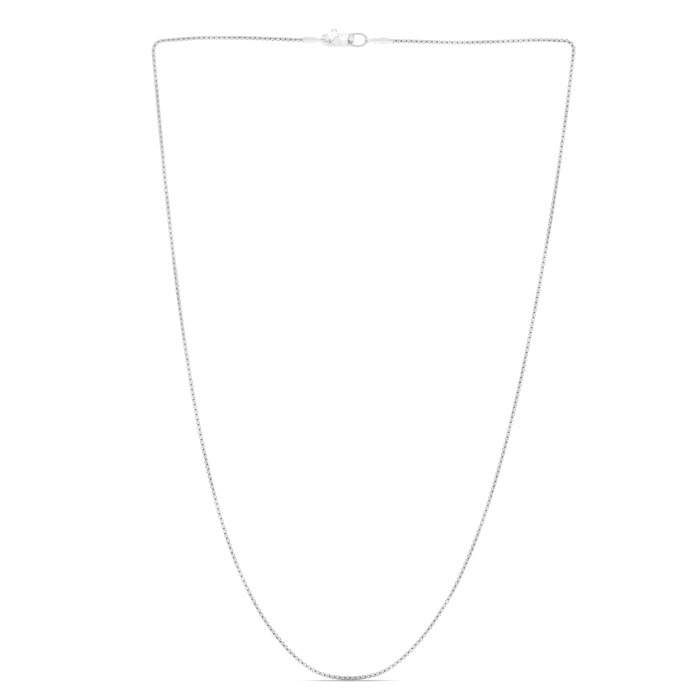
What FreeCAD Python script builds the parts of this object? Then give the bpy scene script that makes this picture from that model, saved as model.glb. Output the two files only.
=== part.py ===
import FreeCAD, Part
import math
import os
import Sketcher

# A fine wheat chain necklace, hanging as it does over two thin pegs, with its clasp in the top run.
# +X is to the right, +Z is up, and the necklace hangs in the XZ plane with its face towards -Y.
# The origin is midway between the two pegs, at the height of the chain's top run.

V = FreeCAD.Vector
X_AXIS = V(1, 0, 0)
Y_AXIS = V(0, 1, 0)
Z_AXIS = V(0, 0, 1)

# Driving dimensions: alias, millimetres or degrees.
SIZES = (
    ("chain_radius", 0.525),
    ("peg_bend_radius", 2.2),
    ("run_share_in_bend", 0.45),
    ("cap_bore_radius", 0.6),
    ("cap_bore_depth", 1.7),
    ("cap_neck_radius", 0.3),
    ("cap_shoulder_length", 0.12),
    ("cap_loop_radius", 0.76),
    ("cap_loop_wire_radius", 0.21),
    ("cap_loop_overlap", 0.1),
    ("left_cap_mouth_from_origin", 15.17),
    ("left_cap_height", 0.05),
    ("left_cap_loop_from_origin", 10.34),
    ("left_cap_loop_tilt", 34.0),
    ("left_cap_mouth_radius", 0.75),
    ("left_cap_collar_start", 0.15),
    ("left_cap_collar_end", 1.0),
    ("left_cap_collar_radius", 0.82),
    ("left_cap_tube_radius", 0.74),
    ("left_cap_taper_length", 1.1),
    ("right_cap_mouth_from_origin", 6.43),
    ("right_cap_height", -0.11),
    ("right_cap_loop_from_origin", 0.86),
    ("right_cap_loop_tilt", -27.0),
    ("right_cap_mouth_radius", 0.68),
    ("right_cap_collar_start", 0.9),
    ("right_cap_collar_end", 2.1),
    ("right_cap_collar_radius", 0.84),
    ("right_cap_tube_radius", 0.64),
    ("right_cap_taper_length", 0.7),
    ("clasp_tail_from_origin", 10.55),
    ("clasp_axis_height", 0.12),
    ("clasp_tilt", 40.0),
    ("clasp_length", 8.15),
    ("clasp_width", 3.4),
    ("clasp_thickness", 2.1),
    ("clasp_edge_round", 0.4),
    ("tail_thickness", 0.7),
    ("tail_length", 1.85),
    ("tail_top_length", 1.6),
    ("tail_corner_round", 1.0),
    ("tail_eye_from_end", 1.03),
    ("tail_eye_radius", 0.55),
    ("cheek_start", 1.45),
    ("cheek_step_height", 0.75),
    ("cheek_top_start", 3.95),
    ("cheek_end", 4.4),
    ("nose_corner_round", 1.45),
    ("nose_tip_round", 0.85),
    ("nose_tip_start", 6.95),
    ("nose_underlap", 0.35),
    ("hollow_end", 7.45),
    ("spine_height", 1.05),
    ("gate_bottom", 2.35),
    ("slot_width", 1.3),
    ("slot_floor", 0.26),
    ("slot_start_height", 1.3),
    ("slot_floor_slope", 0.2),
    ("cut_overrun", 1.0),
    ("pivot_from_end", 2.74),
    ("pivot_height", 0.99),
    ("rivet_radius", 0.3),
    ("rivet_stand_out", 0.05),
    ("rivet_rim_round", 0.04),
    ("rivet_hole_radius", 0.32),
    ("lever_bore_radius", 0.34),
    ("lever_boss_radius", 0.62),
    ("lever_thickness", 1.2),
    ("lever_gap", 0.06),
    ("lever_shoulder", 0.25),
    ("lever_edge_round", 0.15),
    ("knob_from_end", 3.1),
    ("knob_height", 4.2),
    ("knob_radius", 0.75),
    ("knob_thickness", 1.6),
    ("knob_neck_width", 1.0),
    ("knob_edge_round", 0.15),
    ("ring_length", 5.1),
    ("ring_height", 4.6),
    ("ring_wire_radius", 0.275),
    ("ring_tilt", 37.0),
    ("ring_right_end", 0.98),
)

# The chain's route in the XZ plane, in millimetres, chosen along the hanging chain: from inside the left
# end cap over the left peg and down to the lowest run, then from that run up, over the right peg and into
# the right end cap. The two chain halves meet in the middle of the lowest run.
LEFT_ROUTE = (
    (-13.65, 0.03),
    (-19.0, 0.2),
    (-29.0, 0.65),
    (-41.0, 0.7),
    (-53.1, -0.25),
    (-51.25, -22.0),
    (-48.45, -50.0),
    (-44.6, -80.0),
    (-39.75, -106.5),
    (-33.7, -128.2),
    (-26.1, -144.6),
    (-17.2, -155.5),
    (-9.5, -160.15),
)
RIGHT_ROUTE = (
    (1.8, -160.15),
    (8.9, -156.4),
    (17.3, -147.2),
    (25.1, -133.5),
    (32.3, -114.0),
    (38.8, -89.0),
    (44.2, -61.5),
    (48.1, -38.0),
    (50.9, -18.0),
    (53.0, -0.15),
    (43.0, 0.15),
    (33.0, -0.4),
    (22.5, -0.6),
    (13.5, -0.25),
    (4.93, -0.1),
)
LEFT_PEG_POINT = 4
RIGHT_PEG_POINT = 9

# Two faces or edges nearer than this are taken to be in one place.
FLAT = 0.001

doc = FreeCAD.newDocument("wheat_chain_necklace")


def make_sheet():
    sheet = doc.addObject("Spreadsheet::Sheet", "Sizes")
    for row, (alias, value) in enumerate(SIZES, start=1):
        sheet.set(f"A{row}", alias)
        sheet.set(f"B{row}", str(value))
        sheet.setAlias(f"B{row}", alias)
    doc.recompute()
    return sheet


SHEET = make_sheet()


def size(alias):
    return float(getattr(SHEET, alias))


def formula(text):
    """A formula over the sheet's names, with each name written the way an expression needs it."""
    words = text.replace("(", " ( ").replace(")", " ) ").split()
    names = {alias for alias, _ in SIZES}
    return " ".join(f"Sizes.{word}" if word in names else word for word in words)


def bind(item, prop, text):
    item.setExpression(prop, formula(text))


def value_of(text):
    return float(SHEET.evalExpression(formula(text)))


# Sketches and features

def new_body(name):
    body = doc.addObject("PartDesign::Body", name)
    body.Label = name
    return body


def new_sketch(body, name):
    """An empty sketch on the body's own XZ plane."""
    sketch = body.newObject("Sketcher::SketchObject", name)
    plane = next(item for item in body.Origin.OriginFeatures if item.Role == "XZ_Plane")
    sketch.AttachmentSupport = [(plane, "")]
    sketch.MapMode = "FlatFace"
    return sketch


def pin_point(sketch, geometry, point, x_text, z_text):
    """Hold one point of the sketch at a distance from the origin that the sheet gives."""
    for kind, axis, text in (("DistanceX", -2, x_text), ("DistanceY", -1, z_text)):
        value = value_of(text)
        if value == 0:
            sketch.addConstraint(Sketcher.Constraint("PointOnObject", geometry, point, axis))
            continue
        index = sketch.addConstraint(Sketcher.Constraint(kind, -1, 1, geometry, point, value))
        bind(sketch, f"Constraints[{index}]", text)


def polygon_sketch(body, name, corners):
    """A closed outline of straight lines. Each corner is a pair of formulas."""
    sketch = new_sketch(body, name)
    spots = [V(value_of(x_text), value_of(z_text), 0) for x_text, z_text in corners]
    count = len(spots)
    for index in range(count):
        sketch.addGeometry(Part.LineSegment(spots[index], spots[(index + 1) % count]), False)
    for index in range(count):
        sketch.addConstraint(Sketcher.Constraint("Coincident", index, 2, (index + 1) % count, 1))
    for index, (x_text, z_text) in enumerate(corners):
        pin_point(sketch, index, 1, x_text, z_text)
    return sketch


def circle_sketch(body, name, x_text, z_text, radius_text):
    sketch = new_sketch(body, name)
    centre = V(value_of(x_text), value_of(z_text), 0)
    sketch.addGeometry(Part.Circle(centre, Z_AXIS, value_of(radius_text)), False)
    pin_point(sketch, 0, 3, x_text, z_text)
    index = sketch.addConstraint(Sketcher.Constraint("Radius", 0, value_of(radius_text)))
    bind(sketch, f"Constraints[{index}]", radius_text)
    return sketch


def add_pad(body, sketch, thickness_text):
    """Thicken a sketch by the same amount on both sides of the middle plane."""
    pad = body.newObject("PartDesign::Pad", f"{sketch.Name}_pad")
    pad.Profile = sketch
    pad.Midplane = True
    bind(pad, "Length", thickness_text)
    doc.recompute()
    return pad


def add_pocket(body, sketch, thickness_text):
    """Cut a sketch's outline out of the middle of the body."""
    pocket = body.newObject("PartDesign::Pocket", f"{sketch.Name}_cut")
    pocket.Profile = sketch
    pocket.Midplane = True
    bind(pocket, "Length", thickness_text)
    doc.recompute()
    return pocket


def add_fillet(body, base, name, wanted, radius_text):
    """Round the edges of the last feature for which wanted(edge) is true."""
    names = [f"Edge{number}" for number, edge in enumerate(base.Shape.Edges, start=1) if wanted(edge)]
    fillet = body.newObject("PartDesign::Fillet", name)
    fillet.Base = (base, names)
    bind(fillet, "Radius", radius_text)
    doc.recompute()
    return fillet


def across_at(x_text, z_text):
    """A test for the edge that runs through the thickness at one corner of the outline."""
    spot = V(value_of(x_text), 0, value_of(z_text))

    def wanted(edge):
        ends = [vertex.Point for vertex in edge.Vertexes]
        if len(ends) != 2 or abs(ends[0].y - ends[1].y) < FLAT:
            return False
        return all(V(end.x, 0, end.z).distanceToPoint(spot) < FLAT for end in ends)

    return wanted


# The chain

def corner_arcs(route, peg_point, start, end):
    """The straight runs and tangent arcs of a route, cut to a start and an end on its first and last runs."""
    points = [V(x, 0, z) for x, z in route]
    edges = []
    radii = []
    for index in range(1, len(points) - 1):
        before, corner, after = points[index - 1:index + 2]
        way_in = corner.sub(before)
        way_out = after.sub(corner)
        half_turn = way_in.getAngle(way_out) / 2
        radius = size("run_share_in_bend") * min(way_in.Length, way_out.Length) / math.tan(half_turn)
        if index == peg_point:
            radius = size("peg_bend_radius")
        reach = radius * math.tan(half_turn)
        way_in.normalize()
        way_out.normalize()
        arc_start = corner.sub(way_in * reach)
        arc_end = corner.add(way_out * reach)
        inward = way_out.sub(way_in).normalize()
        arc_middle = corner.add(inward * (radius / math.cos(half_turn) - radius))
        edges.append(Part.LineSegment(start, arc_start).toShape())
        edges.append(Part.Arc(arc_start, arc_middle, arc_end).toShape())
        radii.append(radius)
        start = arc_end
    edges.append(Part.LineSegment(start, end).toShape())
    return Part.Wire(edges), radii


def make_chain(name, route, peg_point, start, end):
    """One half of the chain: a round section swept along its route."""
    path = doc.addObject("Part::Feature", f"{name}_route")
    path.Shape, radii = corner_arcs(route, peg_point, start, end)
    section = doc.addObject("Part::Circle", f"{name}_section")
    bind(section, "Radius", "chain_radius")
    turn = FreeCAD.Rotation(Z_AXIS, V(route[1][0], 0, route[1][1]).sub(start))
    section.Placement = FreeCAD.Placement(start, turn)
    chain = doc.addObject("Part::Sweep", name)
    chain.Label = name
    chain.Sections = [section]
    chain.Spine = path
    chain.Solid = True
    chain.Frenet = True
    doc.recompute()
    length = path.Shape.Length
    expected = math.pi * size("chain_radius") ** 2 * length
    print(name, "length", round(length, 2), "volume", round(chain.Shape.Volume, 3), "expected", round(expected, 3))
    print(name, "radii", [round(radius, 1) for radius in radii])
    return chain


# The end caps

def make_end_cap(name, side, turned):
    """A tube with a bore for the chain, a collar, a taper and a soldered loop, along its own X axis.

    Its mouth is at its own origin. The right one is turned half round so that its loop faces the clasp.
    """
    body = new_body(name)
    length = f"{side}_cap_mouth_from_origin - {side}_cap_loop_from_origin"
    neck_end = f"{length} - cap_loop_radius + cap_loop_overlap"
    profile = polygon_sketch(body, f"{name}_profile", (
        ("0", "cap_bore_radius"),
        ("0", f"{side}_cap_mouth_radius"),
        (f"{side}_cap_collar_start", f"{side}_cap_collar_radius"),
        (f"{side}_cap_collar_end", f"{side}_cap_collar_radius"),
        (f"{side}_cap_collar_end + cap_shoulder_length", f"{side}_cap_tube_radius"),
        (f"{neck_end} - {side}_cap_taper_length", f"{side}_cap_tube_radius"),
        (neck_end, "cap_neck_radius"),
        (neck_end, "0"),
        ("cap_bore_depth", "0"),
        ("cap_bore_depth", "cap_bore_radius"),
    ))
    tube = body.newObject("PartDesign::Revolution", f"{name}_tube")
    tube.Profile = profile
    tube.ReferenceAxis = (profile, ["H_Axis"])
    tube.Angle = 360
    doc.recompute()
    loop = body.newObject("PartDesign::AdditiveTorus", f"{name}_loop")
    bind(loop, "Radius1", "cap_loop_radius")
    bind(loop, "Radius2", "cap_loop_wire_radius")
    bind(loop, ".AttachmentOffset.Base.x", length)
    plane = next(item for item in body.Origin.OriginFeatures if item.Role == "XY_Plane")
    loop.AttachmentSupport = [(plane, "")]
    loop.MapMode = "FlatFace"
    doc.recompute()
    mouth = size(f"{side}_cap_mouth_from_origin")
    tilt = FreeCAD.Rotation(X_AXIS, size(f"{side}_cap_loop_tilt"))
    facing = FreeCAD.Rotation(Z_AXIS, 180 if turned else 0)
    spot = V(mouth if turned else -mouth, 0, size(f"{side}_cap_height"))
    body.Placement = FreeCAD.Placement(spot, tilt.multiply(facing))
    return body


# The clasp, drawn with its tail's end at x = 0 and the outside of its spine at z = 0

def clasp_placement():
    """Lay the clasp along the top run and turn it about its long axis, gate side towards the viewer."""
    turn = FreeCAD.Rotation(X_AXIS, size("clasp_tilt"))
    middle = V(0, 0, size("clasp_width") / 2)
    spot = V(-size("clasp_tail_from_origin"), 0, size("clasp_axis_height"))
    return FreeCAD.Placement(spot.sub(turn.multVec(middle)), turn)


def make_clasp_body():
    """The hook with its tail: spine, nose, hollow, two cheeks with a slot between them, and the tail's eye."""
    body = new_body("clasp_body")
    block = add_pad(body, polygon_sketch(body, "block", (
        ("cheek_start", "0"),
        ("clasp_length", "0"),
        ("clasp_length", "clasp_width"),
        ("cheek_start", "clasp_width"),
    )), "clasp_thickness")
    block = add_fillet(body, block, "nose_corner", across_at("clasp_length", "0"), "nose_corner_round")
    block = add_fillet(body, block, "nose_tip", across_at("clasp_length", "clasp_width"), "nose_tip_round")
    add_fillet(body, block, "block_edges", on_outer_edge, "clasp_edge_round")
    add_pocket(body, polygon_sketch(body, "cheek_slope", (
        ("cheek_start - cut_overrun", "cheek_step_height"),
        ("cheek_start", "cheek_step_height"),
        ("cheek_top_start", "clasp_width"),
        ("cheek_top_start", "clasp_width + cut_overrun"),
        ("cheek_start - cut_overrun", "clasp_width + cut_overrun"),
    )), "clasp_thickness + cut_overrun")
    add_pocket(body, polygon_sketch(body, "hollow", (
        ("cheek_end", "spine_height"),
        ("hollow_end", "spine_height"),
        ("hollow_end", "gate_bottom"),
        ("nose_tip_start - nose_underlap", "gate_bottom"),
        ("nose_tip_start", "clasp_width"),
        ("nose_tip_start", "clasp_width + cut_overrun"),
        ("cheek_end", "clasp_width + cut_overrun"),
    )), "clasp_thickness + cut_overrun")
    tail = add_pad(body, polygon_sketch(body, "tail", (
        ("0", "0"),
        ("cheek_start + clasp_edge_round", "0"),
        ("tail_length", "cheek_step_height"),
        ("tail_length", "clasp_width / 2"),
        ("tail_top_length", "clasp_width"),
        ("0", "clasp_width"),
    )), "tail_thickness")
    tail = add_fillet(body, tail, "tail_foot", across_at("0", "0"), "tail_corner_round")
    tail = add_fillet(body, tail, "tail_head", across_at("0", "clasp_width"), "tail_corner_round")
    add_pocket(body, circle_sketch(body, "eye", "tail_eye_from_end", "clasp_width / 2", "tail_eye_radius"),
               "clasp_thickness")
    add_pocket(body, polygon_sketch(body, "slot", (
        ("tail_length + lever_gap", "slot_start_height"),
        ("tail_top_length + lever_gap", "clasp_width + cut_overrun"),
        ("cheek_end + cut_overrun", "clasp_width + cut_overrun"),
        ("cheek_end + cut_overrun", "spine_height"),
        ("pivot_from_end + lever_boss_radius + slot_floor_slope", "pivot_height"),
        ("pivot_from_end + lever_boss_radius", "slot_floor"),
        ("pivot_from_end - lever_boss_radius", "slot_floor"),
    )), "slot_width")
    rivet = circle_sketch(body, "rivet_hole", "pivot_from_end", "pivot_height", "rivet_hole_radius")
    add_pocket(body, rivet, "clasp_thickness + cut_overrun")
    body.Placement = clasp_placement()
    return body


def on_outer_edge(edge):
    """True for the edges of the block's two flat faces along the spine, the nose and the gate side."""
    box = edge.BoundBox
    thick = size("clasp_thickness") / 2
    if box.YLength > FLAT or abs(abs(box.YMax) - thick) > FLAT:
        return False
    return box.XMax > size("cheek_start") + FLAT


def make_lever():
    """The lever: a flat plate with its boss on the pivot, the gate across the hollow and the thumb knob."""
    body = new_body("clasp_lever")
    neck_left = "knob_from_end - knob_neck_width / 2"
    neck_right = "knob_from_end + knob_neck_width / 2"
    plate = add_pad(body, polygon_sketch(body, "plate", (
        ("pivot_from_end - lever_boss_radius", "pivot_height"),
        (f"{neck_left} - lever_shoulder", "gate_bottom + lever_shoulder"),
        (neck_left, "clasp_width"),
        (neck_left, "knob_height"),
        (neck_right, "knob_height"),
        (neck_right, "clasp_width"),
        ("nose_tip_start - lever_gap", "clasp_width"),
        ("nose_tip_start - nose_underlap - lever_gap", "gate_bottom"),
        ("cheek_end - lever_gap", "gate_bottom"),
        ("pivot_from_end + lever_boss_radius", "pivot_height"),
    )), "lever_thickness")
    add_fillet(body, plate, "gate_edges", on_gate_edge, "lever_edge_round")
    boss = circle_sketch(body, "boss", "pivot_from_end", "pivot_height", "lever_boss_radius")
    add_pad(body, boss, "lever_thickness")
    knob = circle_sketch(body, "knob", "knob_from_end", "knob_height", "knob_radius")
    knob_pad = add_pad(body, knob, "knob_thickness")
    add_fillet(body, knob_pad, "knob_edges", on_knob_edge, "knob_edge_round")
    bore = circle_sketch(body, "bore", "pivot_from_end", "pivot_height", "lever_bore_radius")
    add_pocket(body, bore, "clasp_thickness")
    body.Placement = clasp_placement()
    return body


def on_gate_edge(edge):
    """True for the edges along the gate, on both faces of the lever, and across its tip."""
    box = edge.BoundBox
    half = size("lever_thickness") / 2
    if box.YLength > FLAT or abs(abs(box.YMax) - half) > FLAT:
        return False
    return box.XMin > size("knob_from_end") and box.ZMin > size("gate_bottom") - FLAT and box.XLength > FLAT


def on_knob_edge(edge):
    box = edge.BoundBox
    return box.YLength < FLAT and abs(abs(box.YMax) - size("knob_thickness") / 2) < FLAT


def make_rivet():
    """The pin that the lever turns on, from cheek to cheek, a little proud of both."""
    pin = doc.addObject("Part::Cylinder", "rivet_pin")
    bind(pin, "Radius", "rivet_radius")
    bind(pin, "Height", "clasp_thickness + 2 * rivet_stand_out")
    doc.recompute()
    rims = [number for number, edge in enumerate(pin.Shape.Edges, start=1) if edge.Closed]
    rivet = doc.addObject("Part::Fillet", "clasp_rivet")
    rivet.Label = "clasp_rivet"
    rivet.Base = pin
    rivet.Edges = [(number, size("rivet_rim_round"), size("rivet_rim_round")) for number in rims]
    lie_across = FreeCAD.Rotation(X_AXIS, 90)
    half = size("clasp_thickness") / 2 + size("rivet_stand_out")
    spot = V(size("pivot_from_end"), half, size("pivot_height"))
    rivet.Placement = clasp_placement().multiply(FreeCAD.Placement(spot, lie_across))
    return rivet


# The jump ring

def oval_path(straight, radius):
    """A closed oval in the XZ plane: two half circles joined by two short straight sides."""
    half = straight / 2
    edges = [
        Part.LineSegment(V(-half, 0, radius), V(half, 0, radius)).toShape(),
        Part.Arc(V(half, 0, radius), V(half + radius, 0, 0), V(half, 0, -radius)).toShape(),
        Part.LineSegment(V(half, 0, -radius), V(-half, 0, -radius)).toShape(),
        Part.Arc(V(-half, 0, -radius), V(-half - radius, 0, 0), V(-half, 0, radius)).toShape(),
    ]
    return Part.Wire(edges)


def make_jump_ring():
    """An oval wire ring through the hook's hollow and the right end cap's loop."""
    radius = size("ring_height") / 2 - size("ring_wire_radius")
    path = doc.addObject("Part::Feature", "ring_path")
    path.Shape = oval_path(size("ring_length") - size("ring_height"), radius)
    section = doc.addObject("Part::Circle", "ring_section")
    bind(section, "Radius", "ring_wire_radius")
    section.Placement = FreeCAD.Placement(V(0, 0, radius), FreeCAD.Rotation(Z_AXIS, X_AXIS))
    ring = doc.addObject("Part::Sweep", "jump_ring")
    ring.Label = "jump_ring"
    ring.Sections = [section]
    ring.Spine = path
    ring.Solid = True
    ring.Frenet = True
    doc.recompute()
    spot = V(size("ring_right_end") - size("ring_length") / 2, 0, size("clasp_axis_height"))
    ring.Placement = FreeCAD.Placement(spot, FreeCAD.Rotation(X_AXIS, -size("ring_tilt")))
    return ring


def check(pieces):
    """Stop if any object failed to build, or if any piece is empty, broken or more than one solid."""
    for item in doc.Objects:
        if "Invalid" in item.State or "Error" in item.State:
            raise RuntimeError(f"{item.Name} failed to build")
    for piece in pieces:
        shape = piece.Shape
        if shape.isNull() or not shape.isValid() or len(shape.Solids) != 1:
            raise RuntimeError(f"{piece.Label} isn't one whole solid")


def make_chain_halves():
    """The left and right halves, which meet face to face in the middle of the lowest run."""
    left_low, right_low = (V(x, 0, z) for x, z in (LEFT_ROUTE[-1], RIGHT_ROUTE[0]))
    meeting = (left_low + right_low) / 2
    left_end, right_end = (V(x, 0, z) for x, z in (LEFT_ROUTE[0], RIGHT_ROUTE[-1]))
    left = make_chain("chain_left", LEFT_ROUTE + RIGHT_ROUTE[:1], LEFT_PEG_POINT, left_end, meeting)
    right = make_chain("chain_right", LEFT_ROUTE[-1:] + RIGHT_ROUTE, RIGHT_PEG_POINT + 1, meeting, right_end)
    return left, right


PIECES = make_chain_halves() + (
    make_end_cap("end_cap_left", "left", False),
    make_end_cap("end_cap_right", "right", True),
    make_clasp_body(),
    make_lever(),
    make_rivet(),
    make_jump_ring(),
)
doc.recompute()
check(PIECES)
os.makedirs("parts", exist_ok=True)
for piece in PIECES:
    piece.Shape.exportStep(f"parts/{piece.Label}.step")
    print(piece.Label, round(piece.Shape.Volume, 2))
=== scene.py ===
import math

import bmesh
import bpy
import numpy as np
from mathutils import Matrix, Vector


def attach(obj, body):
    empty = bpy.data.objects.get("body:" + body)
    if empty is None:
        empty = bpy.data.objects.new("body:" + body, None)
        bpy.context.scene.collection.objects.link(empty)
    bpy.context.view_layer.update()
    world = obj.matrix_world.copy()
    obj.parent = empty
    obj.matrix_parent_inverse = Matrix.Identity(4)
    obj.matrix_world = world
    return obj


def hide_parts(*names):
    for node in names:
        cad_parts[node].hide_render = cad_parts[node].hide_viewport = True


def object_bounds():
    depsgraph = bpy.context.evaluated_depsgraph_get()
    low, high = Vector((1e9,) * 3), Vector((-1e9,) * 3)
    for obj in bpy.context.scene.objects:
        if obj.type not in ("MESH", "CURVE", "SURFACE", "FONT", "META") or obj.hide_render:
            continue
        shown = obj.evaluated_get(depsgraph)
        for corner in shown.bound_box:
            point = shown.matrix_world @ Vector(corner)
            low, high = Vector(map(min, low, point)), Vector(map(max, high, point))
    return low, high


# A fine wheat chain necklace in its hanging form, with the fastened clasp in its top run, in a white studio.
# Everything is in metres, with +X to the viewer's right, +Y away from the viewer and +Z up.

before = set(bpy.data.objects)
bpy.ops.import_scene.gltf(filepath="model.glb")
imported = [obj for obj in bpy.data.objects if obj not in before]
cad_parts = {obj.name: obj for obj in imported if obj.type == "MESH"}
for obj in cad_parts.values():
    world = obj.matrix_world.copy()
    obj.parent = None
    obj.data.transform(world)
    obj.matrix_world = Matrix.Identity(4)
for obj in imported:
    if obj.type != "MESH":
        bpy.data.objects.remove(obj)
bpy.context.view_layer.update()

MM = 0.001

# The chain's route, from inside the left end cap round the left bend and down to the lowest run
LEFT_ROUTE = (
    (-0.01365, 0.00003),
    (-0.019, 0.0002),
    (-0.029, 0.00065),
    (-0.041, 0.0007),
    (-0.0471, 0.0002),
    (-0.0531, -0.00025),
    (-0.0526, -0.0062),
    (-0.05125, -0.022),
    (-0.04845, -0.05),
    (-0.0446, -0.08),
    (-0.03975, -0.1065),
    (-0.0337, -0.1282),
    (-0.0261, -0.1446),
    (-0.0172, -0.1555),
    (-0.0095, -0.16015),
)
# and from that run up, round the right bend and into the right end cap
RIGHT_ROUTE = (
    (0.0018, -0.16015),
    (0.0089, -0.1564),
    (0.0173, -0.1472),
    (0.0251, -0.1335),
    (0.0323, -0.114),
    (0.0388, -0.089),
    (0.0442, -0.0615),
    (0.0481, -0.038),
    (0.0509, -0.018),
    (0.0523, -0.0061),
    (0.053, -0.00015),
    (0.047, 0.00005),
    (0.043, 0.00015),
    (0.033, -0.0004),
    (0.0225, -0.0006),
    (0.0135, -0.00025),
    (0.00493, -0.0001),
)
HALVES_MEET_X = -0.00385
ROUTE_ORDER = 3
ROUTE_RESOLUTION = 32

# One quarter of a link: a long wire loop folded into a U, with a lobe at the end of each arm.
# Columns: along the fold's width, beside it, along the chain; in millimetres.
LINK_QUARTER = (
    (0.0, 0.12, 0.0),
    (0.275, 0.12, 0.0),
    (0.42, 0.1, 0.155),
    (0.4, 0.11, 0.44),
    (0.4, 0.2, 1.055),
    (0.35, 0.32, 1.25),
    (0.27, 0.25, 1.47),
    (0.205, 0.0, 1.535),
)
# Steps along the wire from each of these points to the next
LINK_STEPS = (1, 2, 1, 1, 2, 2, 2)
LINK_WIRE = 0.195 * MM
LINK_SIDES = 6
LINK_PITCH = 0.64 * MM
LINK_REACH = 1.63 * MM
LINK_OUTSIDE = 0.55 * MM
FIRST_LINK_FROM_END = 0.15 * MM

# Painted shade on each link: its colour darkens towards its inside, and where its fold is tucked between the
# lobes of the one before
FOLD_UNSHADED_FROM = 0.45 * MM
FOLD_SHADE_FADE = 0.3 * MM
TUCK_SHADE_DEPTH = 0.75

# The slow twist that a hanging chain takes up: waves of an angle in degrees and a length
TWIST_WAVES = ((9.0, 0.083), (6.0, 0.031), (3.0, 0.0137))

# The studio's light by direction: from straight behind the camera, 0, to straight behind the necklace, 1
STUDIO_BANDS = ((0.0, 0.86), (0.12, 0.93), (0.63, 0.98), (0.74, 0.66), (0.95, 0.66), (0.985, 1.0))
BACKDROP_WHITE = 1.05

# The clasp's own frame: x from its tail's end, y across its thickness, z from the outside of its spine
CLASP_TILT = 40.0
CLASP_ORIGIN = (-0.01055, 0.0010927, -0.0011823)
CLASP_WIDTH = 3.4 * MM

# The clasp's inside: the hook's hollow is partly polished, and painted a little lighter than the outside as
# painted light. The slot that the lever sits in is matte and painted lighter still, and fades into the
# hollow's finish at its end.
HOLLOW_START = 4.35 * MM
HOLLOW_END = 7.5 * MM
HOLLOW_BOTTOM = 0.95 * MM
HOLLOW_TOP = 2.4 * MM
HOLLOW_LIGHT_AND_POLISH = 0.3
SLOT_START = 1.9 * MM
SLOT_END = 4.3 * MM
SLOT_HALF_WIDTH = 0.655 * MM
SLOT_FADE = 0.9 * MM

# The clasp's faces are domed: the skin above this half thickness thins towards the sides and the ends
DOME_FLOOR = 0.67 * MM
DOME_LENGTH = 8.75 * MM
DOME_SIDE_FALL = 0.7
DOME_SIDE_POWER = 2.5
DOME_END_FALL = 0.5
DOME_END_POWER = 4

# The fittings' soft edges: points nearer than the first distance are joined, then each fitting is built
# again from cells of its own size, all in millimetres, and smoothed in a number of rounds
WELD_DISTANCE = 0.0005
CAP_CELL = 0.04
CAP_ROUNDS = 12
HOOK_CELL = 0.05
HOOK_ROUNDS = 40
TRIGGER_CELL = 0.045
TRIGGER_ROUNDS = 30
ROUND_STRENGTH = 0.5

# The jump ring: a slightly long oval of round wire
RING_MIDDLE = (-0.00157, 0.0, 0.00012)
RING_TILT = -37.0
RING_STRAIGHT = 0.5 * MM
RING_RADIUS = 2.025 * MM
RING_WIRE = 0.55 * MM
RING_STEPS = 48
RING_SIDES = 20

# Faint wear in the silver: its detail, the part of its range that shows, how much less and more rough it
# makes the surface, and its depth as a share of the grain's size
WEAR_DETAIL = 3.0
WEAR_SPAN = (0.3, 0.7)
WEAR_GLOSS = (0.6, 1.5)
WEAR_DEPTH = 0.1
CASTING_BUMP = 0.1

FLOOR_HALF = 3.0
FLOOR_GAP = 0.00005
FLOOR_ROUGHNESS = 0.9
FLOOR_BRIGHTNESS = 0.97
# The soft shadow painted into its colour under the chain's lowest run: its middle, how far it reaches in x
# and y, and how far in its full depth begins
SHADE_MIDDLE = (-0.0034, -0.0018)
SHADE_REACH = (0.015, 0.0055)
SHADE_HEIGHT = 1000.0
SHADE_FADE = 0.7
SHADE_BRIGHTNESS = 0.5

SOFTBOX_PLACE = (0.0, -0.2, 1.2)
SOFTBOX_TARGET = (0.0, 0.0, -0.08)
SOFTBOX_WIDTH = 1.2
SOFTBOX_WATTS = 1.2

PHOTO_SIZE = 700
METRES_PER_PIXEL = 0.2512 * MM
PHOTO_ORIGIN = (363.4, 40.0)
CAMERA_DISTANCE = 1.6
CAMERA_REACH = 20.0
SENSOR_WIDTH = 0.036


# Meshes

def mesh_object(name, vertices, faces, material):
    """A smooth-shaded mesh object from plain lists or arrays of vertices and faces."""
    mesh = bpy.data.meshes.new(name)
    mesh.from_pydata([tuple(vertex) for vertex in vertices], [], [tuple(face) for face in faces])
    mesh.materials.append(material)
    mesh.polygons.foreach_set("use_smooth", [True] * len(mesh.polygons))
    mesh.update()
    item = bpy.data.objects.new(name, mesh)
    bpy.context.scene.collection.objects.link(item)
    return item


def smooth_loop(points, steps):
    """A smooth closed curve through the points, with a number of steps from each point to the next."""
    following = np.roll(points, -1, axis=0)
    gap = np.linalg.norm(following - points, axis=1)[:, None]
    slope = (following - points) / gap
    gap_before = np.roll(gap, 1, axis=0)
    slope_before = np.roll(slope, 1, axis=0)
    tangent = (slope * gap_before + slope_before * gap) / (gap + gap_before)
    line = []
    for index, count in enumerate(steps):
        after = (index + 1) % len(points)
        for step in range(count):
            t = step / count
            ease = t * t * (3 - 2 * t)
            leave = t * (1 - t) ** 2 * gap[index] * tangent[index]
            arrive = t * t * (t - 1) * gap[index] * tangent[after]
            line.append(points[index] * (1 - ease) + points[after] * ease + leave + arrive)
    return np.array(line)


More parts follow.
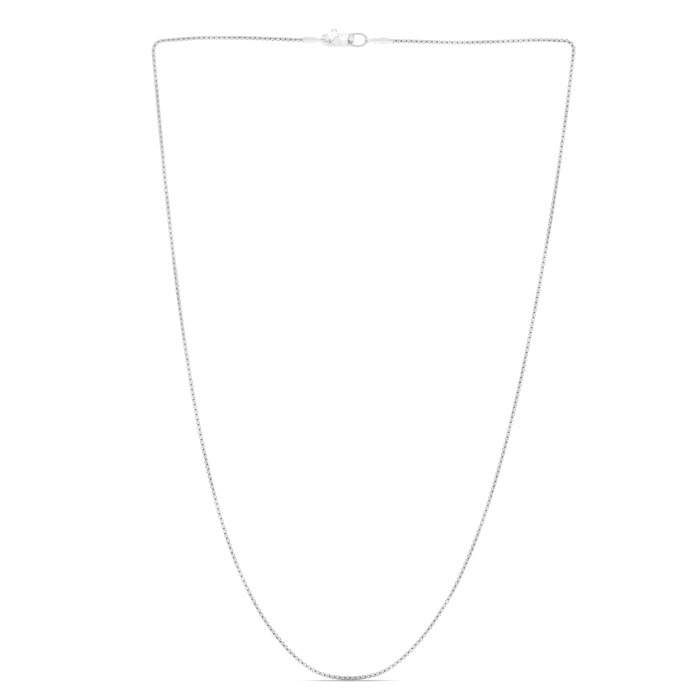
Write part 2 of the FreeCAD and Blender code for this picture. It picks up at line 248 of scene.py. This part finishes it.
def closed_tube(line, radius, sides):
    """Vertices and faces of a round wire along a closed line, turned as little as possible on its way."""
    count = len(line)
    ahead = np.roll(line, -1, axis=0) - np.roll(line, 1, axis=0)
    ahead /= np.linalg.norm(ahead, axis=1)[:, None]
    across = np.cross(ahead[0], (0.0, 0.0, 1.0))
    across /= np.linalg.norm(across)
    sideways = [across]
    for index in range(1, count + 1):
        across = sideways[-1]
        across = across - ahead[index % count] * np.dot(across, ahead[index % count])
        sideways.append(across / np.linalg.norm(across))
    over = np.cross(ahead[0], sideways[0])
    leftover = math.atan2(np.dot(sideways[count], over), np.dot(sideways[count], sideways[0]))
    vertices = []
    for index in range(count):
        over = np.cross(ahead[index], sideways[index])
        turn = -leftover * index / count
        for side in range(sides):
            angle = turn + 2 * math.pi * side / sides
            outward = sideways[index] * math.cos(angle) + over * math.sin(angle)
            vertices.append(line[index] + radius * outward)
    faces = []
    for index in range(count):
        here = index * sides
        there = (index + 1) % count * sides
        for side in range(sides):
            beside = (side + 1) % sides
            faces.append((here + side, here + beside, there + beside, there + side))
    return np.array(vertices), np.array(faces)


# The chain

def link_outline():
    """The four quarters of a link's wire, one after the other, and the steps between their points."""
    quarter = np.array(LINK_QUARTER) * MM
    back = quarter[::-1]
    corners = np.vstack((
        quarter,
        back[1:] * (1, -1, 1),
        quarter[1:] * (-1, -1, 1),
        back[1:-1] * (-1, 1, 1),
    ))
    return corners, (LINK_STEPS + LINK_STEPS[::-1]) * 2


def route_line():
    """Points read along the smooth route through the whole chain."""
    points = LEFT_ROUTE + RIGHT_ROUTE
    curve = bpy.data.curves.new("route", "CURVE")
    curve.dimensions = "3D"
    curve.resolution_u = ROUTE_RESOLUTION
    spline = curve.splines.new("NURBS")
    spline.points.add(len(points) - 1)
    for point, (x, z) in zip(spline.points, points):
        point.co = (x, 0, z, 1)
    spline.order_u = ROUTE_ORDER
    spline.use_endpoint_u = True
    holder = bpy.data.objects.new("route", curve)
    mesh = bpy.data.meshes.new_from_object(holder)
    line = np.array([vertex.co[:] for vertex in mesh.vertices])
    bpy.data.objects.remove(holder)
    bpy.data.meshes.remove(mesh)
    bpy.data.curves.remove(curve)
    return line


class Route:
    """The chain's middle line, measured by the length along it."""

    def __init__(self, line):
        self.line = line
        steps = np.linalg.norm(np.diff(line, axis=0), axis=1)
        self.along = np.concatenate(([0.0], np.cumsum(steps)))
        self.length = self.along[-1]
        self.ahead = np.gradient(line, self.along, axis=0)

    def at(self, table, along):
        """What a table kept for each point of the line says at a length along it."""
        return np.stack([np.interp(along, self.along, column) for column in table.T], axis=-1)

    def frame_at(self, along):
        """Middle, and two directions across the chain that turn with its twist."""
        middle = self.at(self.line, along)
        ahead = self.at(self.ahead, along)
        ahead /= np.linalg.norm(ahead, axis=-1, keepdims=True)
        depth = np.array((0.0, 1.0, 0.0))
        inward = np.cross(depth, ahead)
        twist = np.zeros_like(along)
        for angle, wave in TWIST_WAVES:
            twist += math.radians(angle) * np.sin(2 * math.pi * along / wave)
        cos, sin = np.cos(twist)[..., None], np.sin(twist)[..., None]
        return middle, inward * cos + depth * sin, depth * cos - inward * sin


def wheat_links(name, route, starts, first_turned, material):
    """Folded links, one at each start. Each goes through both lobes of the link two before it."""
    corners, steps = link_outline()
    shape, faces = closed_tube(smooth_loop(corners, steps), LINK_WIRE / 2, LINK_SIDES)
    turned = shape[:, [1, 0, 2]] * (-1, 1, 1)
    vertices = []
    all_faces = []
    for number, start in enumerate(starts):
        link = turned if (number + first_turned) % 2 else shape
        middle, wide, beside = route.frame_at(start + link[:, 2])
        vertices.append(middle + wide * link[:, :1] + beside * link[:, 1:2])
        all_faces.append(faces + number * len(shape))
    piece = mesh_object(name, np.concatenate(vertices), np.concatenate(all_faces), material)
    # Painted shade: each link's colour darkens towards its inside and where its fold tucks between the lobes
    # of the link before
    tuck_shade = np.clip((FOLD_UNSHADED_FROM - shape[:, 2]) / FOLD_SHADE_FADE, 0.0, 1.0)
    outward = np.hypot(shape[:, 0], shape[:, 1]) / LINK_OUTSIDE - TUCK_SHADE_DEPTH * tuck_shade
    painted_light_and_shade = piece.data.attributes.new("outward", "FLOAT", "POINT")
    painted_light_and_shade.data.foreach_set("value", np.tile(outward, len(starts)))
    return piece


def build_chain(material):
    """All the links, one after the other along the route, in a left and a right piece."""
    route = Route(route_line())
    count = int((route.length - FIRST_LINK_FROM_END - LINK_REACH) / LINK_PITCH)
    starts = FIRST_LINK_FROM_END + LINK_PITCH * np.arange(count)
    lowest = int(np.argmin(np.abs(route.line[:, 0] - HALVES_MEET_X)))
    half = int((route.along[lowest] - FIRST_LINK_FROM_END) / LINK_PITCH)
    left = wheat_links("wheat_links_left", route, starts[:half], 0, material)
    right = wheat_links("wheat_links_right", route, starts[half:], half, material)
    for piece, node in ((left, "chain_left"), (right, "chain_right")):
        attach(piece, "necklace")
        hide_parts(node)


# The fittings

def softened(name, node, body, material, cell, rounds):
    """A finely remeshed and smoothed copy of a node, with the soft edges of polished castings."""
    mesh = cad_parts[node].data.copy()
    mesh.transform(Matrix.Scale(1 / MM, 4))
    fused = bmesh.new()
    fused.from_mesh(mesh)
    bmesh.ops.remove_doubles(fused, verts=fused.verts, dist=WELD_DISTANCE)
    fused.to_mesh(mesh)
    fused.free()
    rough = bpy.data.objects.new(name, mesh)
    bpy.context.scene.collection.objects.link(rough)
    remesh = rough.modifiers.new("remesh", "REMESH")
    remesh.mode = "VOXEL"
    remesh.voxel_size = cell
    smooth = rough.modifiers.new("smooth", "SMOOTH")
    smooth.factor = ROUND_STRENGTH
    smooth.iterations = rounds
    graph = bpy.context.evaluated_depsgraph_get()
    final = bpy.data.meshes.new_from_object(rough.evaluated_get(graph))
    bpy.data.objects.remove(rough)
    final.transform(Matrix.Scale(MM, 4))
    final.materials.clear()
    final.materials.append(material)
    final.polygons.foreach_set("use_smooth", [True] * len(final.polygons))
    item = bpy.data.objects.new(name, final)
    bpy.context.scene.collection.objects.link(item)
    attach(item, body)
    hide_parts(node)
    return item


def finish_casting(item):
    """Dome the outer faces of a clasp piece, and note at each point how far out it lies: from 0, deep in the
    slot, to 1 outside. Where it lies in, the colour is painted lighter as painted light, and the slot is
    matte."""
    placed = Matrix.Translation(CLASP_ORIGIN) @ Matrix.Rotation(math.radians(CLASP_TILT), 4, "X")
    out_of_clasp = np.array(placed)
    into_clasp = np.array(placed.inverted())
    points = np.empty(len(item.data.vertices) * 3)
    item.data.vertices.foreach_get("co", points)
    local = points.reshape(-1, 3) @ into_clasp[:3, :3].T + into_clasp[:3, 3]
    x, y, z = local.T
    in_hollow = (x > HOLLOW_START) & (x < HOLLOW_END) & (z > HOLLOW_BOTTOM) & (z < HOLLOW_TOP)
    in_slot = (x > SLOT_START) & (x < SLOT_END) & (np.abs(y) < SLOT_HALF_WIDTH) & (z < CLASP_WIDTH)
    # Painted light: the slot and the hollow are given a lighter colour than the outside
    painted_light_and_shade = item.data.attributes.new("outward", "FLOAT", "POINT")
    fade = HOLLOW_LIGHT_AND_POLISH * np.clip((x - SLOT_END) / SLOT_FADE + 1, 0.0, 1.0)
    painted_light_and_shade.data.foreach_set("value", np.where(in_slot, fade, np.where(in_hollow, HOLLOW_LIGHT_AND_POLISH, 1.0)))
    side = np.clip(np.abs(2 * z / CLASP_WIDTH - 1), 0.0, 1.0)
    end = np.clip(np.abs(2 * x / DOME_LENGTH - 1), 0.0, 1.0)
    share = (1 - DOME_SIDE_FALL * side ** DOME_SIDE_POWER) * (1 - DOME_END_FALL * end ** DOME_END_POWER)
    skin = np.maximum(np.abs(y) - DOME_FLOOR, 0.0)
    local[:, 1] = np.sign(y) * (np.abs(y) - skin * (1 - share))
    points = local @ out_of_clasp[:3, :3].T + out_of_clasp[:3, 3]
    item.data.vertices.foreach_set("co", points.ravel())
    item.data.update()


def build_jump_ring(material):
    """The round wire ring that the hook holds: two half circles with a short straight between them."""
    angles = 2 * math.pi * (np.arange(RING_STEPS) + 0.5) / RING_STEPS
    across = RING_RADIUS * np.cos(angles)
    across += RING_STRAIGHT / 2 * np.sign(across)
    up = RING_RADIUS * np.sin(angles)
    line = np.stack((across, np.zeros(RING_STEPS), up), axis=1)
    vertices, faces = closed_tube(line, RING_WIRE / 2, RING_SIDES)
    turn = np.array(Matrix.Rotation(math.radians(RING_TILT), 3, "X"))
    ring = mesh_object("ring_wire", vertices @ turn.T + RING_MIDDLE, faces, material)
    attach(ring, "necklace")
    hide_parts("jump_ring")


# Materials

def silver(name, color, roughness, grain_size, bump):
    """Polished white silver with faint wear: its gloss and its surface vary a little at the grain's size."""
    material = bpy.data.materials.new(name)
    material.use_nodes = True
    nodes = material.node_tree.nodes
    links = material.node_tree.links
    shader = nodes["Principled BSDF"]
    shader.inputs["Base Color"].default_value = (*color, 1)
    shader.inputs["Metallic"].default_value = 1.0
    place = nodes.new("ShaderNodeTexCoord")
    noise = nodes.new("ShaderNodeTexNoise")
    noise.inputs["Scale"].default_value = 1 / grain_size
    noise.inputs["Detail"].default_value = WEAR_DETAIL
    links.new(place.outputs["Object"], noise.inputs["Vector"])
    spread = nodes.new("ShaderNodeMapRange")
    spread.inputs["From Min"].default_value = WEAR_SPAN[0]
    spread.inputs["From Max"].default_value = WEAR_SPAN[1]
    spread.inputs["To Min"].default_value = roughness * WEAR_GLOSS[0]
    spread.inputs["To Max"].default_value = roughness * WEAR_GLOSS[1]
    links.new(noise.outputs["Fac"], spread.inputs["Value"])
    links.new(spread.outputs["Result"], shader.inputs["Roughness"])
    relief = nodes.new("ShaderNodeBump")
    relief.inputs["Strength"].default_value = bump
    relief.inputs["Distance"].default_value = grain_size * WEAR_DEPTH
    links.new(noise.outputs["Fac"], relief.inputs["Height"])
    links.new(relief.outputs["Normal"], shader.inputs["Normal"])
    return material


def recessed_silver(name, inside, outside, span, roughness, matte, grain_size):
    """Silver with one colour outside and another inside, set by how far out each point lies: painted shade
    or painted light in the recesses. Where it lies least far out, the surface is rougher and less like a
    mirror."""
    material = silver(name, outside, roughness, grain_size, CASTING_BUMP)
    nodes = material.node_tree.nodes
    links = material.node_tree.links
    shader = nodes["Principled BSDF"]
    depth = nodes.new("ShaderNodeAttribute")
    depth.attribute_name = "outward"
    # The ramp paints shade or light into the colour by how far out each point lies
    ramp = nodes.new("ShaderNodeValToRGB")
    for element, position, color in zip(ramp.color_ramp.elements, span, (inside, outside)):
        element.position = position
        element.color = (*color, 1)
    links.new(depth.outputs["Fac"], ramp.inputs["Fac"])
    links.new(ramp.outputs["Color"], shader.inputs["Base Color"])
    extra = nodes.new("ShaderNodeMapRange")
    extra.inputs["From Min"].default_value = span[0]
    extra.inputs["From Max"].default_value = span[0] + HOLLOW_LIGHT_AND_POLISH * (span[1] - span[0])
    extra.inputs["To Min"].default_value = matte
    extra.inputs["To Max"].default_value = 0.0
    links.new(depth.outputs["Fac"], extra.inputs["Value"])
    metal = nodes.new("ShaderNodeMath")
    metal.operation = "SUBTRACT"
    metal.inputs[0].default_value = 1.0
    links.new(extra.outputs["Result"], metal.inputs[1])
    links.new(metal.outputs["Value"], shader.inputs["Metallic"])
    total = nodes.new("ShaderNodeMath")
    links.new(shader.inputs["Roughness"].links[0].from_socket, total.inputs[0])
    links.new(extra.outputs["Result"], total.inputs[1])
    links.new(total.outputs["Value"], shader.inputs["Roughness"])
    return material


def dress(node, material):
    """Give a CAD node its finish."""
    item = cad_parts[node]
    item.data.materials.clear()
    item.data.materials.append(material)


# Studio

def build_floor():
    """A plain pale floor under the chain's lowest run, with a soft shadow painted into its colour beneath
    the run.
    """
    material = bpy.data.materials.new("floor_paper")
    material.use_nodes = True
    nodes = material.node_tree.nodes
    links = material.node_tree.links
    shader = nodes["Principled BSDF"]
    shader.inputs["Roughness"].default_value = FLOOR_ROUGHNESS
    shader.inputs["Specular IOR Level"].default_value = 0.0
    place = nodes.new("ShaderNodeTexCoord")
    fit = nodes.new("ShaderNodeMapping")
    fit.vector_type = "TEXTURE"
    fit.inputs["Location"].default_value = (*SHADE_MIDDLE, 0.0)
    fit.inputs["Scale"].default_value = (*SHADE_REACH, SHADE_HEIGHT)
    links.new(place.outputs["Object"], fit.inputs["Vector"])
    round_fade = nodes.new("ShaderNodeTexGradient")
    round_fade.gradient_type = "SPHERICAL"
    links.new(fit.outputs["Vector"], round_fade.inputs["Vector"])
    # Painted shadow: the floor's colour darkens in a soft oval under the lowest run
    shade = nodes.new("ShaderNodeMapRange")
    shade.interpolation_type = "SMOOTHSTEP"
    shade.inputs["From Max"].default_value = SHADE_FADE
    shade.inputs["To Min"].default_value = FLOOR_BRIGHTNESS
    shade.inputs["To Max"].default_value = SHADE_BRIGHTNESS
    links.new(round_fade.outputs["Fac"], shade.inputs["Value"])
    links.new(shade.outputs["Result"], shader.inputs["Base Color"])
    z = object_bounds()[0][2] - FLOOR_GAP
    sides = ((-1, -1), (1, -1), (1, 1), (-1, 1))
    corners = [(FLOOR_HALF * x, FLOOR_HALF * y, z) for x, y in sides]
    floor = mesh_object("floor", corners, ((0, 1, 2, 3),), material)


def build_world():
    """White studio light from all around. What polished silver mirrors has a grey band round the middle of
    the backdrop, which draws the outlines of everything round. All else sees plain white."""
    world = bpy.data.worlds.new("studio")
    bpy.context.scene.world = world
    world.use_nodes = True
    nodes = world.node_tree.nodes
    links = world.node_tree.links
    background = nodes["Background"]
    background.inputs["Color"].default_value = (1, 1, 1, 1)
    place = nodes.new("ShaderNodeTexCoord")
    parts = nodes.new("ShaderNodeSeparateXYZ")
    links.new(place.outputs["Generated"], parts.inputs["Vector"])
    depth = nodes.new("ShaderNodeMapRange")
    depth.inputs["From Min"].default_value = -1.0
    links.new(parts.outputs["Y"], depth.inputs["Value"])
    ramp = nodes.new("ShaderNodeValToRGB")
    bands = ramp.color_ramp.elements
    for towards_back, _ in STUDIO_BANDS[2:]:
        bands.new(towards_back)
    for band, (towards_back, strength) in zip(bands, STUDIO_BANDS):
        band.position = towards_back
        band.color = (strength, strength, strength, 1)
    links.new(depth.outputs["Result"], ramp.inputs["Fac"])
    path = nodes.new("ShaderNodeLightPath")
    pick = nodes.new("ShaderNodeMix")
    pick.data_type = "FLOAT"
    pick.inputs["A"].default_value = BACKDROP_WHITE
    links.new(path.outputs["Is Glossy Ray"], pick.inputs["Factor"])
    links.new(ramp.outputs["Color"], pick.inputs["B"])
    links.new(pick.outputs["Result"], background.inputs["Strength"])


def build_softbox():
    """A weak soft light from above, which the silver doesn't mirror."""
    light = bpy.data.lights.new("top_softbox", "AREA")
    light.shape = "SQUARE"
    light.size = SOFTBOX_WIDTH
    light.energy = SOFTBOX_WATTS
    item = bpy.data.objects.new("top_softbox", light)
    item.location = SOFTBOX_PLACE
    down = Vector(SOFTBOX_TARGET) - Vector(SOFTBOX_PLACE)
    item.rotation_euler = down.to_track_quat("-Z", "Y").to_euler()
    item.visible_glossy = False
    bpy.context.scene.collection.objects.link(item)


def build_camera():
    """Straight on, level with the photo's middle, from far enough away to flatten the view."""
    middle = (PHOTO_SIZE - 1) / 2
    x = (middle - PHOTO_ORIGIN[0]) * METRES_PER_PIXEL
    z = (PHOTO_ORIGIN[1] - middle) * METRES_PER_PIXEL
    camera = bpy.data.cameras.new("camera")
    camera.sensor_width = SENSOR_WIDTH / MM
    camera.lens = SENSOR_WIDTH * CAMERA_DISTANCE / (PHOTO_SIZE * METRES_PER_PIXEL) / MM
    camera.clip_end = CAMERA_REACH
    item = bpy.data.objects.new("camera", camera)
    item.location = (x, -CAMERA_DISTANCE, z)
    item.rotation_euler = (math.pi / 2, 0, 0)
    bpy.context.scene.collection.objects.link(item)
    bpy.context.scene.camera = item


# The finishes

WIRE_SILVER = recessed_silver(
    "chain_silver",
    # The inside colour is painted shade in the links' folds and crevices
    inside=(0.13, 0.13, 0.135),
    outside=(0.97, 0.97, 0.98),
    span=(0.34, 0.6),
    roughness=0.1,
    matte=0.2,
    grain_size=0.6 * MM,
)
CAST_SILVER = recessed_silver(
    "clasp_silver",
    # The inside colour is painted light, lighter than the outside
    inside=(0.95, 0.95, 0.96),
    outside=(0.8, 0.8, 0.81),
    span=(0, 1),
    roughness=0.16,
    matte=0.8,
    grain_size=1.2 * MM,
)
LEVER_SILVER = recessed_silver(
    "lever_silver",
    # The inside colour is painted light, lighter than the outside
    inside=(0.95, 0.95, 0.96),
    outside=(0.93, 0.93, 0.94),
    span=(0, 1),
    roughness=0.14,
    matte=0.8,
    grain_size=1.0 * MM,
)
RING_SILVER = silver("ring_silver", (0.66, 0.66, 0.67), roughness=0.1, grain_size=0.8 * MM, bump=0.05)
CAP_SILVER = silver("cap_silver", (0.83, 0.83, 0.84), roughness=0.16, grain_size=1.0 * MM, bump=0.1)


# The necklace

build_chain(WIRE_SILVER)
softened("cap_left", "end_cap_left", "necklace", CAP_SILVER, CAP_CELL, CAP_ROUNDS)
softened("cap_right", "end_cap_right", "necklace", CAP_SILVER, CAP_CELL, CAP_ROUNDS)
hook = softened("clasp_hook", "clasp_body", "necklace", CAST_SILVER, HOOK_CELL, HOOK_ROUNDS)
finish_casting(hook)
trigger = softened(
    "clasp_trigger", "clasp_lever", "lever", LEVER_SILVER, TRIGGER_CELL, TRIGGER_ROUNDS
)
finish_casting(trigger)
build_jump_ring(RING_SILVER)
dress("clasp_rivet", CAP_SILVER)


# The studio round it

build_floor()
build_world()
build_camera()
build_softbox()
bpy.context.scene.view_settings.view_transform = "Standard"
